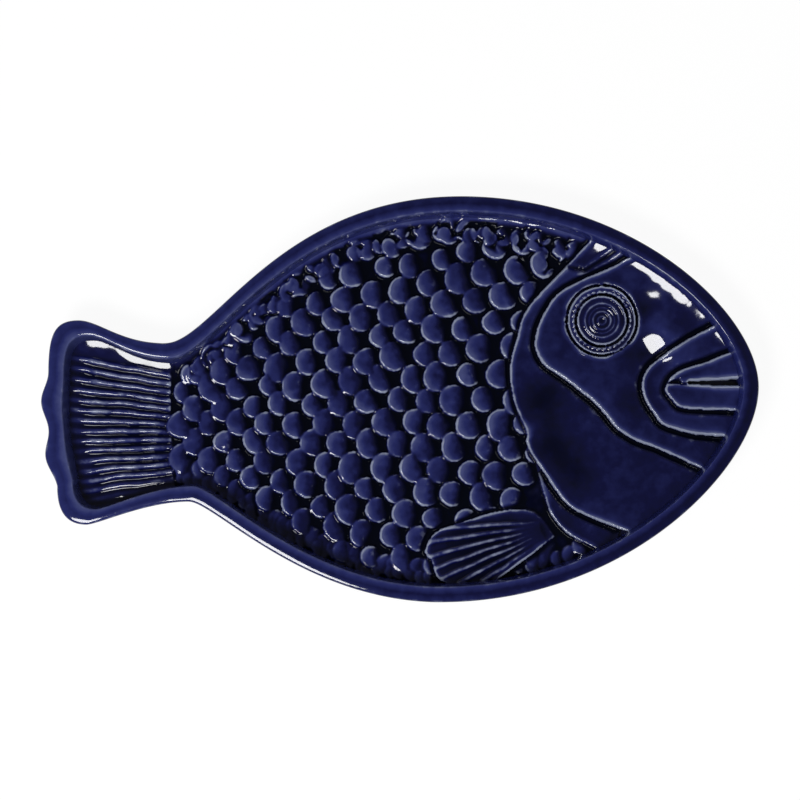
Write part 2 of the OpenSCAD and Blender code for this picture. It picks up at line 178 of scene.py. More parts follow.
class PlatterSizes(bpy.types.PropertyGroup):
    lip_r: size_of("Lip radius", 3.5 * MM, "Radius of the rounded lip")
    rim_top: size_of("Rim top", 7 * MM, "Width of the rim's gently domed top")
    rim_w: size_of("Rim width", 8.8 * MM, "Outer edge to the foot of the wall, seen from above")
    base_in: size_of("Base inset", 7 * MM, "How far the underside's edge stands in from the lip")
    base_round: size_of("Base rounding", 1.6 * MM, "Rounding of the underside's edge")
    cove_rise: size_of("Cove rise", 2.0 * MM, "How far the floor climbs where it meets the wall")
    cove_reach: size_of("Cove reach", 13 * MM, "How far into the well the floor starts to climb")
    fringe_rise: size_of("Fringe rise", 1.8 * MM, "How far the flank rises to the back's wall")
    scale_pitch: size_of("Scale pitch", 14.6 * MM, "Distance from one scale to the next along a row")
    scale_rise: size_of("Scale rise", 3.2 * MM, "Height of a scale at its free edge")
    scale_r: size_of("Scale radius", 8 * MM, "Half of a scale's height across its row")
    # painted shade: this depth also darkens each scale's root side, away from the lamp, besides the glaze pooled there
    root_pool: size_of("Root pooling and shade", 1.2 * MM, "Depth of the glaze that pools behind a scale")
    row_angle: bpy.props.FloatProperty(name="Row angle", description="Angle between two rows of the scales' fan",
                                       default=math.radians(1.56), subtype="ANGLE")
    wander: size_of("Wander", 0.8 * MM, "How far a carved edge wanders off its line")
    coat_step: size_of("Coat step", 0.4 * MM, "Spacing of the points that the coat is laid on")
    sheet_step: size_of("Plate step", 0.45 * MM, "Spacing of the points in a finished plate")
    eye_step: size_of("Eye step", 0.3 * MM, "Spacing of the points in the finished eye")
    scale_step: size_of("Scale step", 0.56 * MM, "Spacing of the points in the finished scales")
    groove_w: size_of("Groove width", 3.6 * MM, "Width of the groove outside a plate's edge")
    groove_d: size_of("Groove depth", 1.6 * MM, "Depth of the groove outside a plate's edge")
    bead_h: size_of("Bead height", 0.55 * MM, "Height of the bead along a plate's edge")
    lump_h: size_of("Lump height", 1.2 * MM, "How far the plates are uneven")
    soft: count_of("Soft", 2, "How far the glaze rounds an edge, in passes")
    near: count_of("Near", 12, "How far glaze draws off a crest, in passes")
    halo: count_of("Halo", 28, "How far glaze thins beside a crest, in passes")
    broad: count_of("Broad", 90, "How far glaze runs into a pit, in passes")
    wide: count_of("Wide", 700, "How far glaze runs off a plate, in passes")
    seed: count_of("Seed", 11, "Seed of the hand-made irregularities")


class PlatterColours(bpy.types.PropertyGroup):
    # the pale colours bare, thin and edge are partly glaze drawn thin and partly painted highlight; deep and pit are
    # partly pooled glaze and partly painted shade
    bare: colour_of("Bared crest", "#b3bcd8", "Glaze drawn so thin over a crest that the pale clay shows through")
    thin: colour_of("Thin glaze", "#5a629c", "Glaze on the high side of an edge")
    edge: colour_of("Edge glaze", "#2f367b", "Glaze beside a crest")
    body: colour_of("Glaze", "#10134a", "Glaze at its usual depth")
    deep: colour_of("Deep glaze", "#090c2c", "Glaze pooled in a hollow")
    pit: colour_of("Pit glaze", "#0a0d19", "Glaze at its deepest")
    clay: colour_of("Clay", "#d8cdb8", "Bare fired clay of the foot")
    speck: colour_of("Clay specks", "#a8977a", "Grog and iron specks in the clay")
    paper: colour_of("Floor", "#f4f4f4", "Paper that the platter stands on")


class Field:
    """A node's output that sums can be written with; each sign adds a node."""

    def __init__(self, nodes, socket):
        self.nodes, self.socket = nodes, socket

    def __add__(self, other):
        return self.nodes.calc("ADD", self, other)

    def __sub__(self, other):
        return self.nodes.calc("SUBTRACT", self, other)

    def __mul__(self, other):
        return self.nodes.calc("MULTIPLY", self, other)


def put(tree, kind, settings=None, inputs=None):
    """Adds a node to a tree; an input is a value or another node's output."""
    node = tree.nodes.new(kind)
    for key, value in (settings or {}).items():
        setattr(node, key, value)
    for key, value in (inputs or {}).items():
        value = value.socket if isinstance(value, Field) else value
        if isinstance(value, bpy.types.NodeSocket):
            tree.links.new(value, node.inputs[key])
        else:
            node.inputs[key].default_value = value
    return node


class Nodes:
    """A tree with short forms for the nodes that it has many of; each form gives the new node's output."""

    def __init__(self, tree):
        self.tree = tree

    def out(self, kind, settings=None, inputs=None, socket=0):
        return Field(self, put(self.tree, kind, settings, inputs).outputs[socket])

    def calc(self, operation, *values):
        return self.out("ShaderNodeMath", {"operation": operation}, dict(enumerate(values)))

    def logic(self, operation, *values):
        return self.out("FunctionNodeBooleanMath", {"operation": operation}, dict(enumerate(values)))

    def vector(self, operation, *values):
        socket = "Value" if operation in ("LENGTH", "DISTANCE") else "Vector"
        return self.out("ShaderNodeVectorMath", {"operation": operation}, dict(enumerate(values)), socket)

    def split(self, vector):
        """The X, Y and Z of a vector."""
        return put(self.tree, "ShaderNodeSeparateXYZ", inputs={0: vector}).outputs

    def joined(self, x, y, z=0.0):
        return self.out("ShaderNodeCombineXYZ", inputs={"X": x, "Y": y, "Z": z})

    def ranged(self, value, start, end, low=0.0, high=1.0, smooth=False):
        """A value that is low at the start of a range and high at its end."""
        return self.out("ShaderNodeMapRange", {"interpolation_type": "SMOOTHSTEP" if smooth else "LINEAR"}, {
            "Value": value, "From Min": start, "From Max": end, "To Min": low, "To Max": high})

    def mixed(self, share, first, second):
        return self.out("ShaderNodeMix", {"data_type": "FLOAT"}, {0: share, 2: first, 3: second})

    def noise(self, place, span, detail, seed=None, socket="Fac"):
        """Noise whose features are a span apart; a seed gives it another pattern."""
        settings, inputs = {}, {"Vector": place, "Scale": 1 / span, "Detail": detail}
        if seed is not None:
            settings["noise_dimensions"], inputs["W"] = "4D", seed
        return self.out("ShaderNodeTexNoise", settings, inputs, socket)

    def ramp(self, share, stops):
        """A colour from a ramp with its stops as (place, colour)."""
        node = put(self.tree, "ShaderNodeValToRGB", inputs={"Fac": share})
        elements = node.color_ramp.elements
        while len(elements) < len(stops):
            elements.new(0.5)
        for element, (at, colour) in zip(elements, stops):
            element.position, element.color = at, colour
        return node.outputs["Color"]

    def shape(self, thing):
        """An object's geometry."""
        return self.out("GeometryNodeObjectInfo", inputs={"Object": thing}, socket="Geometry")

    def switched(self, test, no, yes):
        return self.out("GeometryNodeSwitch", {"input_type": "FLOAT"}, {"Switch": test, "False": no, "True": yes})

    def named(self, name):
        """A named attribute."""
        return self.out("GeometryNodeInputNamedAttribute", {"data_type": "FLOAT"}, {"Name": name})

    def stored(self, geometry, name, value):
        """A geometry with a named attribute on its points."""
        return self.out("GeometryNodeStoreNamedAttribute", {"data_type": "FLOAT", "domain": "POINT"}, {
            "Geometry": geometry, "Name": name, "Value": value})

    def blurred(self, value, passes):
        return self.out("GeometryNodeBlurAttribute", {"data_type": "FLOAT"}, {"Value": value, "Iterations": passes})

    def distance(self, lines, place):
        """Distance from a place to the nearest of some lines."""
        return self.out("GeometryNodeProximity", {"target_element": "EDGES"}, {
            "Geometry": lines, "Sample Position": place}, "Distance")

    def dropped(self, target, value, source):
        """A ray straight down to a mould: whether it hits, how high, and the mould's value there."""
        ray = put(self.tree, "GeometryNodeRaycast", {"data_type": "FLOAT"}, {
            "Target Geometry": target, "Attribute": value, "Source Position": source,
            "Ray Direction": (0, 0, -1), "Ray Length": 1.0}).outputs
        return ray["Is Hit"], self.split(ray["Hit Position"])["Z"], ray["Attribute"]

    def closed(self, geometry, glaze):
        """The finished tree, with its instances made real and its material set."""
        real = self.out("GeometryNodeRealizeInstances", inputs={"Geometry": geometry})
        done = self.out("GeometryNodeSetMaterial", inputs={"Geometry": real, "Material": glaze})
        put(self.tree, "NodeGroupOutput", inputs={"Geometry": done})
        return self.tree


def material(name):
    """A material that has no nodes yet, and the short forms for its tree."""
    made = bpy.data.materials.new(name)
    made.use_nodes = True
    made.node_tree.nodes.clear()
    return made, Nodes(made.node_tree)


def surfaced(made, inputs):
    """A material closed with its surface shader."""
    shader = put(made.node_tree, "ShaderNodeBsdfPrincipled", inputs=inputs)
    put(made.node_tree, "ShaderNodeOutputMaterial", inputs={"Surface": shader.outputs["BSDF"]})
    return made


def cobalt_glaze(colours):
    """Cobalt glaze, dipped and fired: a glassy skin that draws off crests, so they show pale, and pools near black; the
    pale crests are partly painted highlight, and the near black partly painted shade.
    """
    made, nodes = material("cobalt_glaze")
    place = nodes.out("ShaderNodeTexCoord", socket="Object")
    pool, crest = (nodes.out("ShaderNodeAttribute", {"attribute_name": name}, socket="Fac")
                   for name in ("pool", "crest"))
    # patches of 5 mm where the dip ran a little thinner or thicker
    patch, uneven, low, high = 5 * MM, 0.16 * MM, 0.3, 0.7
    drift = nodes.ranged(nodes.noise(place, patch, 3.0), low, high, -uneven, uneven)
    # from a high edge, over the usual depth, to the deepest pit; the pale end partly paints light and the near-black
    # end partly paints shade, as the depth carries both
    stops = [(-1.5 * MM, colours.thin), (-0.7 * MM, colours.edge), (0.05 * MM, colours.body),
             (0.65 * MM, colours.deep), (1.4 * MM, colours.pit)]
    shallow, deepest = stops[0][0], stops[-1][0]
    skin = nodes.ramp(nodes.ranged(pool + drift, shallow, deepest),
                      [((at - shallow) / (deepest - shallow), colour) for at, colour in stops])
    # a crest's pale line comes and goes along its length; it is partly glaze drawn thin over the crest and partly
    # painted highlight
    coming, full_line, wear = 0.12 * MM, 0.52 * MM, -0.8
    bared_and_highlit = nodes.ranged(drift * wear + crest, coming, full_line, smooth=True)
    skin = nodes.out("ShaderNodeMix", {"data_type": "RGBA"}, {0: bared_and_highlit, 6: skin, 7: colours.bare}, 2)
    # fired gloss, a little duller where the glaze is thin
    glassy, duller = 0.06, 0.14
    gloss = nodes.ranged(bared_and_highlit, 0.0, 1.0, glassy, duller)
    # painted shade: a pit gives back hardly any reflection, as though its walls kept the lamp's light out
    brim, dark, bright, dim = 0.35 * MM, 1.0 * MM, 0.5, 0.06
    shine = nodes.ranged(pool, brim, dark, bright, dim)
    # slow waves of 9 mm in the glassy surface
    wave, wave_h = 9 * MM, 0.25 * MM
    bump = nodes.out("ShaderNodeBump", inputs={
        "Height": nodes.noise(place, wave, 1.0), "Strength": 0.35, "Distance": wave_h})
    return surfaced(made, {
        "Base Color": skin, "Roughness": gloss, "IOR": 1.52, "Specular IOR Level": shine, "Normal": bump})


def bare_clay(colours):
    """Fired earthenware without glaze, wiped before firing: dull, pale, with grit and specks under half a millimetre,
    drawn at 1 mm so that they show."""
    made, nodes = material("bare_earthenware")
    grain, stain, grain_h = 1 * MM, 14 * MM, 0.15 * MM
    place = nodes.out("ShaderNodeTexCoord", socket="Object")
    grit = nodes.noise(place, grain, 4.0)
    specks = grit * nodes.noise(place, stain, 2.0)
    bump = nodes.out("ShaderNodeBump", inputs={"Height": grit, "Strength": 0.5, "Distance": grain_h})
    return surfaced(made, {
        "Base Color": nodes.ramp(specks, [(0.2, colours.clay), (0.42, colours.speck)]), "Roughness": 0.86,
        "Normal": bump})


def white_paper(colours):
    """Matt studio paper: takes the platter's shadow, and reads white to the eye and in the glaze."""
    made, nodes = material("white_paper")
    glow, dimmed = 0.94, 0.15
    path = put(nodes.tree, "ShaderNodeLightPath").outputs
    seen = nodes.calc("MAXIMUM", path["Is Camera Ray"], path["Is Glossy Ray"])
    seen = nodes.calc("MAXIMUM", seen, path["Is Transmission Ray"])
    return surfaced(made, {
        "Base Color": [c * dimmed for c in colours.paper[:3]] + [1], "Roughness": 0.9, "Specular IOR Level": 0.0,
        "Emission Color": (1, 1, 1, 1), "Emission Strength": seen * glow})


def column(items, key, wide=1, kind=float):
    """One value of many items as an array; a value of several numbers gives as many columns."""
    values = np.empty(len(items) * wide, kind)
    items.foreach_get(key, values)
    return values.reshape(-1, wide) if wide > 1 else values


def mark(mesh, name, values, domain="POINT"):
    """Gives a mesh a named attribute of numbers."""
    mesh.attributes.new(name, "FLOAT", domain).data.foreach_set("value", np.asarray(values, np.float32))


def varied(vary, shake):
    """A mean with some of its swing, as far as a shake from -1 to 1 takes it."""
    mean, swing = vary
    return mean + swing * shake


def place_in(node, across, along):
    """A plan place in a CAD node's box, by shares of its length and width."""
    low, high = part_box(node)
    return (low.x + (high.x - low.x) * across, low.y + (high.y - low.y) * along, 0)


def merged(node):
    """A CAD node's points and triangles, with equal points joined."""
    same_spot = 2e-6
    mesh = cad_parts[node].data
    mesh.calc_loop_triangles()
    points = column(mesh.vertices, "co", 3)
    triangles = column(mesh.loop_triangles, "vertices", 3, int)
    _, first, same = np.unique(np.round(points / same_spot).astype(int), axis=0, return_index=True,
                               return_inverse=True)
    return points[first], same.ravel()[triangles]


def level_loops(node, z):
    """Closed lines that bound a CAD node's flat faces at a level, or that its skin draws there, as plan points."""
    points, triangles = merged(node)
    same_level = 5e-6
    flat = np.abs(points[:, 2] - z) < same_level
    count = {}
    for tri in triangles[flat[triangles].sum(1) >= 2]:
        whole = int(flat[tri].all())
        for a, b in ((tri[0], tri[1]), (tri[1], tri[2]), (tri[2], tri[0])):
            if flat[a] and flat[b] and a != b:
                count[min(a, b), max(a, b)] = count.get((min(a, b), max(a, b)), 0) + whole
    # an edge between two flat faces bounds nothing
    ways = {}
    for (a, b), whole in count.items():
        if whole < 2:
            ways.setdefault(a, []).append(b)
            ways.setdefault(b, []).append(a)
    loops = []
    while ways:
        start = next(iter(ways))
        loop, here = [start], start
        while ways.get(here):
            there = ways[here].pop()
            ways[there].remove(here)
            loop.append(there)
            here = there
            if here == start:
                break
        for k in [k for k, v in ways.items() if not v]:
            del ways[k]
        if len(loop) > 3 and loop[-1] == loop[0]:
            loops.append(points[loop[:-1], :2])
    return sorted(loops, key=lambda l: -abs(area(l)))


def area(loop):
    """Signed area of a closed plan line."""
    x, y = loop[:, 0], loop[:, 1]
    return 0.5 * float(np.sum(x * np.roll(y, -1) - np.roll(x, -1) * y))


def divided(loop, step):
    """A closed plan line with its straight runs divided to a step."""
    made = []
    for a, b in zip(loop, np.roll(loop, -1, 0)):
        n = max(1, int(math.ceil(np.linalg.norm(b - a) / step)))
        made.extend(a + (b - a) * k / n for k in range(n))
    return np.array(made)


def smooth_loop(loop, n):
    """A closed plan line drawn again as a smooth curve through its points, n steps between two of them."""
    before, after, beyond = np.roll(loop, 1, 0), np.roll(loop, -1, 0), np.roll(loop, -2, 0)
    made = []
    for k in range(n):
        t = k / n
        made.append(0.5 * (2 * loop + (after - before) * t + (2 * before - 5 * loop + 4 * after - beyond) * t * t
                           + (3 * loop - before - 3 * after + beyond) * t ** 3))
    return np.stack(made, 1).reshape(-1, 2)


def inside(points, loops):
    """Whether plan points lie within closed lines, where a line in another one is a hole."""
    odd = np.zeros(len(points), bool)
    for loop in loops:
        for a, b in zip(loop, np.roll(loop, -1, 0)):
            if a[1] != b[1]:
                across = (a[1] > points[:, 1]) != (b[1] > points[:, 1])
                odd ^= across & (points[:, 0] < a[0] + (points[:, 1] - a[1]) * (b[0] - a[0]) / (b[1] - a[1]))
    return odd


def reach(points, loops):
    """Distance of plan points to the nearest of some closed lines."""
    never_zero = 1e-18
    best = np.full(len(points), np.inf)
    for loop in loops:
        for a, b in zip(loop, np.roll(loop, -1, 0)):
            d = b - a
            t = np.clip(((points - a) @ d) / max(float(d @ d), never_zero), 0, 1)
            best = np.minimum(best, np.hypot(*(points - a - t[:, None] * d).T))
    return best


def triangles_in(points, loops, plain):
    """Triangles over plan points that keep to closed lines; the lines' points come first, plain has them undivided."""
    edges, start = [], 0
    for loop in loops:
        n = len(loop)
        edges.extend((start + k, start + (k + 1) % n) for k in range(n))
        start += n
    within, same_spot = 1, 1e-9
    made = delaunay_2d_cdt([Vector(p) for p in points], edges, [], within, same_spot)
    spots, faces = np.array(made[0]), np.array(made[2])
    if len(spots) != len(points):
        raise RuntimeError("the outline of a plate crosses itself")
    back = np.array([origin[0] for origin in made[3]])
    return back[faces[inside(spots[faces].mean(1), plain)]]


def linked(name, data):
    """An object with some data, set in the scene."""
    made = bpy.data.objects.new(name, data)
    bpy.context.scene.collection.objects.link(made)
    return made


def new_object(name, points, faces, edges=()):
    """A mesh object at the origin."""
    mesh = bpy.data.meshes.new(name)
    mesh.from_pydata(np.asarray(points).tolist(), list(edges), [tuple(f) for f in faces], shade_flat=False)
    return linked(name, mesh)


def outward(mesh):
    """Turns a closed mesh's faces outwards."""
    work = bmesh.new()
    work.from_mesh(mesh)
    bmesh.ops.recalc_face_normals(work, faces=work.faces)
    work.to_mesh(mesh)
    work.free()


def node_tree(name, sockets):
    """A Geometry Nodes tree with a geometry in and out, and with named inputs listed by kind."""
    tree = bpy.data.node_groups.new(name, "GeometryNodeTree")
    tree.interface.new_socket("Geometry", in_out="INPUT", socket_type="NodeSocketGeometry")
    for kind, labels in sockets.items():
        for label in labels:
            tree.interface.new_socket(label, in_out="INPUT", socket_type="NodeSocket" + kind)
    tree.interface.new_socket("Geometry", in_out="OUTPUT", socket_type="NodeSocketGeometry")
    return tree, put(tree, "NodeGroupInput").outputs


def grown(thing, tree, values):
    """Runs a tree on an object with its inputs' values by name, and leaves the result as its plain mesh."""
    modifier = thing.modifiers.new(tree.name, "NODES")
    modifier.node_group = tree
    for item in tree.interface.items_tree:
        if item.in_out == "INPUT" and item.name != "Geometry":
            modifier[item.identifier] = values[item.name]
    graph = bpy.context.evaluated_depsgraph_get()
    mesh = bpy.data.meshes.new_from_object(thing.evaluated_get(graph), preserve_all_data_layers=True, depsgraph=graph)
    thing.modifiers.clear()
    old = thing.data
    thing.data = mesh
    bpy.data.meshes.remove(old)


def scale_field_tree():
    """Scales set on points: turned to their row, with their width, height and rise from the points."""
    tree, given = node_tree("scale_field", {"Object": ["Scale"], "Material": ["Glaze"]})
    nodes = Nodes(tree)
    spin = nodes.out("FunctionNodeEulerToRotation", inputs={"Euler": nodes.joined(0.0, 0.0, nodes.named("turn"))})
    size = nodes.joined(*(nodes.named(name) for name in ("half_width", "half_height", "rise")))
    points = nodes.out("GeometryNodeMeshToPoints", inputs={"Mesh": given["Geometry"]})
    field = nodes.out("GeometryNodeInstanceOnPoints", inputs={
        "Points": points, "Instance": nodes.shape(given["Scale"]), "Rotation": spin, "Scale": size})
    return nodes.closed(field, given["Glaze"])


class Coat(Nodes):
    """The coat's tree: a flat sheet of points over the well, each with the glaze's height there and how far it pools, a
    depth that also carries painted shade and painted light.

    Each stage adds to the height, to the glaze that has run together with the painted shade, or to both.
    """

    def __init__(self):
        tree, self.given = node_tree("glaze_coat", {
            "Object": ["Plates", "Scales", "Well", "Edges"],
            "Float": ["Length", "Width", "Coat step", "Floor", "Fringe rise", "Root pooling and shade", "Eye radius", "Wander",
                      "Groove width", "Groove depth", "Bead height", "Lump height", "Cove rise", "Cove reach", "Seed"],
            "Int": ["Soft", "Near", "Halo", "Broad", "Wide"],
            "Vector": ["Eye"],
            "Material": ["Glaze"]})
        super().__init__(tree)
        self.place = self.out("GeometryNodeInputPosition")
        self.above = self.vector("ADD", self.place, (0, 0, RAY_Z))
        self.well = self.shape(self["Well"])
        self.wall = self.distance(self.well, self.place)
        self.ranks = self.named("rank")
        self.height, self.own = self["Floor"], 0.0

    def __getitem__(self, label):
        """One of the tree's inputs."""
        return Field(self, self.given[label])

    def built(self):
        self.take_mould()
        self.fill_roots()
        self.run_to_fringe()
        self.carve_edges()
        self.turn_eye()
        self.wear_down()
        self.swell()
        return self.lay()

    def take_mould(self):
        """The height and the rank of what lies uppermost: a plate, or a scale on the flank."""
        # edges wander a little off their line, as a carved model's do
        drift = self.noise(self.place, LUMP_SPAN, 2.0, self["Seed"], "Color")
        # noise keeps to about a quarter round its middle, so four times that is the full way
        drift = self.vector("SUBTRACT", drift, (0.5, 0.5, 0.5))
        drift = self.vector("MULTIPLY", drift, (4, 4, 0))
        drift = self.out("ShaderNodeVectorMath", {"operation": "SCALE"}, {0: drift, "Scale": self["Wander"]})
        self.strayed = self.vector("ADD", self.above, drift)
        plates = self.shape(self["Plates"])
        for source in (self.above, self.strayed):
            hit, level, rank = self.dropped(plates, self.ranks, source)
            self.own = self.switched(hit, self.own, rank)
            self.height = self.switched(hit, self.height, level)
        # scales lie on the flank and over the tail's end
        hit, level, root = self.dropped(self.shape(self["Scales"]), self.named("root"), self.strayed)
        # the floor between scales darkens as a root does: partly pooled glaze, partly painted shade
        between = 0.7
        self.root = self.switched(hit, between, root)
        self.small = self.calc("LESS_THAN", self.own, 1 + HALF)
        hit = self.logic("AND", hit, self.small)
        self.flank = self.logic("OR", self.calc("LESS_THAN", self.own, HALF), hit)
        self.height = self.switched(hit, self.height, level)

    def fill_roots(self):
        """Glaze runs down behind each scale and fills its root, and runs off its free edge; the dark towards the root
        is partly pooled glaze and partly painted shade, and the pale free edge partly painted light.
        """
        ragged = 0.5
        root = self.noise(self.place, ROOT_SPAN, 1.0, self["Seed"]) * ragged + self.root
        filled = self.ranged(root, *ROOT_FILL_AND_SHADE, smooth=True) * self["Root pooling and shade"]
        self.filled = filled + self.ranged(root, *EDGE_THIN)

    def run_to_fringe(self):
        """By the back's wall the scales run into one thin fringe, with three-cornered pits between their tips."""
        at = self.split(self.place)
        back = self.ranged(at["Y"], *BACK)
        fringe = self.ranged(self.wall, *FRINGE, back, 0.0, smooth=True) * self.flank
        lifted = fringe * self["Fringe rise"] + self["Floor"]
        height = self.calc("MAXIMUM", self.height, lifted)
        filled = self.mixed(fringe, self.filled * self.flank, FRINGE_POOL)
        tips = self.out("ShaderNodeTexVoronoi", {"voronoi_dimensions": "2D"}, {
            "Vector": self.place, "Scale": 1 / PIT_SPAN, "Randomness": 0.8}, "Distance")
        pit = self.ranged(tips, *PIT, self["Fringe rise"], smooth=True)
        band = self.ranged(at["X"], *PIT_BAND, smooth=True)
        start = self.ranged(self.wall, *PIT_START)
        end = self.ranged(self.wall, band, band - PIT_END)
        pit = pit * start * end * self.flank * back
        self.height = self.calc("MAXIMUM", height - pit, self["Floor"])
        # the pits are painted darker too: partly pooled glaze, partly painted shade
        self.filled = filled + pit

    def carve_edges(self):
        """A groove outside the nearest edge if its plate lies over this one, a bead if it is this one's own edge."""
        edges = self.shape(self["Edges"])
        flat = self.vector("MULTIPLY", self.strayed, (1, 1, 0))
        nearest = self.out("GeometryNodeSampleNearest", {"domain": "EDGE"}, {
            "Geometry": edges, "Sample Position": flat}, "Index")
        owner = self.out("GeometryNodeSampleIndex", {"data_type": "FLOAT", "domain": "EDGE"}, {
            "Geometry": edges, "Value": self.ranks, "Index": nearest}, "Value")
        over = owner - self.own
        close = self.ranged(self.distance(edges, flat), 0.0, self["Groove width"], 1.0, 0.0, smooth=True)
        dip = close * self.calc("GREATER_THAN", over, HALF) * self["Groove depth"]
        bead = close * self.calc("COMPARE", over, 0.0, HALF) * self["Bead height"]
        self.height = self.calc("MAXIMUM", self.height - dip, self["Floor"]) + bead

    def turn_eye(self):
        """Turned rings of the eye, some of them broken into beads."""
        spoke = self.vector("SUBTRACT", self.place, self["Eye"])
        from_eye = self.vector("LENGTH", spoke)
        spoke = self.split(spoke)
        angle = self.calc("ARCTAN2", spoke["Y"], spoke["X"])
        mean, swing = BEADS
        for share, rise, beads in EYE_RINGS:
            off = self.calc("ABSOLUTE", from_eye - self["Eye radius"] * share)
            ring = self.ranged(off, 0.0, RING_W, rise * MM, 0.0, smooth=True)
            if beads:
                ring = ring * (self.calc("COSINE", angle * float(beads)) * swing + mean)
            self.height = self.height + ring

    def wear_down(self):
        """Scales and tail rays come and go, and sink into the cove by the wall; the fin's root sinks into the flank."""
        worn = self.ranged(self.noise(self.place, WORN_SPAN, 1.0, self["Seed"]), *WORN)
        # the tail's rays, with rank 1, sink deeper than the scales
        scales_left, rays_left = 0.75, 0.25
        least = self.own * (rays_left - scales_left) + scales_left
        sunken = self.ranged(self.wall, 0.0, self["Cove reach"], least, 1.0)
        keep = self.mixed(self.small, 1.0, worn * sunken)
        from_root = self.vector("DISTANCE", self.place, place_in(*FIN_ROOT))
        fin = self.calc("COMPARE", self.own, PLATES.index("fin") + 1.0, HALF)
        keep = self.mixed(fin, keep, self.ranged(from_root, *FIN_SUNK, smooth=True))
        self.height = (self.height - self["Floor"]) * keep + self["Floor"]

    def swell(self):
        """Swells and hollows of the fish, and the slow lumps of a hand-modelled surface."""
        for node, across, along, far, rise, pooled in SWELLS:
            away = self.vector("DISTANCE", self.place, place_in(node, across, along))
            swell = self.ranged(away, 0.0, far * MM, 1.0, 0.0, smooth=True)
            self.height = swell * (rise * MM) + self.height
            # a swell's pooling paints the glaze darker, or paler below zero: partly glaze pooled in a hollow, partly
            # painted shade and painted light
            self.filled = swell * (pooled * MM) + self.filled
        lump = self.noise(self.place, LUMP_SPAN, 1.0, self["Seed"])
        self.height = self.height + lump * self["Lump height"]

    def lay(self):
        """The sheet itself, with the height softened and the glaze's depth from the form around each point, a depth
        that also carries painted shade and painted light.
        """
        across, along = (self.calc("DIVIDE", self[side], self["Coat step"]) for side in ("Length", "Width"))
        sheet = self.out("GeometryNodeMeshGrid", inputs={
            "Size X": self["Length"], "Size Y": self["Width"], "Vertices X": across, "Vertices Y": along})
        sheet = self.stored(sheet, "raw", self.height)
        sheet = self.stored(sheet, "filled", self.filled)
        # only the well keeps its points, so that the blur knows no outside
        on_floor = self.dropped(self.well, 0.0, self.above)[0]
        sheet = self.out("GeometryNodeDeleteGeometry", {"domain": "POINT"}, {
            "Geometry": sheet, "Selection": self.logic("NOT", on_floor)})
        raw = self.named("raw")
        soft, near, halo, broad, wide = (
            self.blurred(raw, self[far]) for far in ("Soft", "Near", "Halo", "Broad", "Wide"))
        # glaze pools, and painted shade darkens it, where the surface lies under what is round it, near by and further
        # off
        filled = self.blurred(self.named("filled"), self["Soft"])
        pool = (self.mixed(FAR_SHARE, broad, wide) - soft) * self.ranged(filled, *RUN_TOGETHER) + filled
        # and thins in a halo beside a crest, a paler band that partly paints the light on a rounded edge
        pool = halo - soft + pool
        crest = soft - near
        # the floor climbs into the wall in a cove
        climb = self.calc("POWER", self.ranged(self.wall, 0.0, self["Cove reach"], 1.0, 0.0), 2.0)
        lift = climb * self["Cove rise"] + soft
        for name, value in (("height", lift), ("pool", pool), ("crest", crest), ("wall", self.wall)):
            sheet = self.stored(sheet, name, value)
        return self.closed(sheet, self["Glaze"])


def plate_tree():
    """A flat closed plate whose top is lifted to the coat, with the coat's pooling and painted shade kept on its
    points.
    """
    tree, given = node_tree("glazed_plate", {"Object": ["Coat"], "Float": ["Floor"], "Material": ["Glaze"]})
    nodes = Nodes(tree)
    coat = nodes.shape(given["Coat"])
    at = nodes.split(nodes.out("GeometryNodeInputPosition"))
    flat = nodes.joined(at["X"], at["Y"])
    taken = {name: nodes.out("GeometryNodeSampleNearestSurface", {"data_type": "FLOAT"}, {
        "Mesh": coat, "Value": nodes.named(name), "Sample Position": flat}, "Value")
        for name in ("height", "pool", "crest")}
    level = nodes.mixed(nodes.named("top"), given["Floor"], taken["height"])
    plate = given["Geometry"]
    for name in ("pool", "crest"):
        plate = nodes.stored(plate, name, taken[name])
    lifted = nodes.out("GeometryNodeSetPosition", inputs={
        "Geometry": plate, "Position": nodes.joined(at["X"], at["Y"], level)})
    return nodes.closed(lifted, given["Glaze"])


def flat_plate(name, loops, step):
    """A closed plate without height over an area: a fine top, a plain underside and a skirt between them."""
    lines = [divided(loop, step) for loop in loops]
    border = np.concatenate(lines)
    low, high = border.min(0), border.max(0)
    gap = step * math.sqrt(3) / 2
    xs, ys = np.meshgrid(np.arange(low[0], high[0], step), np.arange(low[1], high[1], gap))
    xs = xs + (np.arange(len(xs)) % 2)[:, None] * step / 2
    grid = np.stack([xs.ravel(), ys.ravel()], 1)
    grid = grid[inside(grid, loops)]
    clear = 0.45 * step
    grid = grid[reach(grid, loops) > clear]
    tops = np.concatenate([border, grid])
    n, m = len(tops), len(border)
    upper = triangles_in(tops, lines, loops)
    under = triangles_in(border, lines, loops)
    skirt, rims, start = [], [], 0
    for line in lines:
        k = len(line)
        for i in range(k):
            a, b = start + i, start + (i + 1) % k
            skirt += [(a, b, n + b), (a, n + b, n + a)]
            rims += [(a, b), (n + a, n + b)]
        start += k
    points = np.concatenate([np.column_stack([tops, np.full(n, 1.0)]), np.column_stack([border, np.zeros(m)])])
    made = new_object(name, points, [*upper, *(under + n), *skirt])
    outward(made.data)
    mark(made.data, "top", np.concatenate([np.ones(n), np.zeros(m)]))
    # the plate's two rims stay sharp
    hard = made.data.attributes.new("sharp_edge", "BOOLEAN", "EDGE")
    ends = column(made.data.edges, "vertices", 2, int)
    coded = [np.sort(np.array(e), 1) @ np.array([n + m, 1]) for e in (ends, rims)]
    hard.data.foreach_set("value", np.isin(*coded))
    return made


def finish_piece(piece, node):
    """A finished piece rides on the platter and stands for its CAD node."""
    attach(piece, "root")
    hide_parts(node)


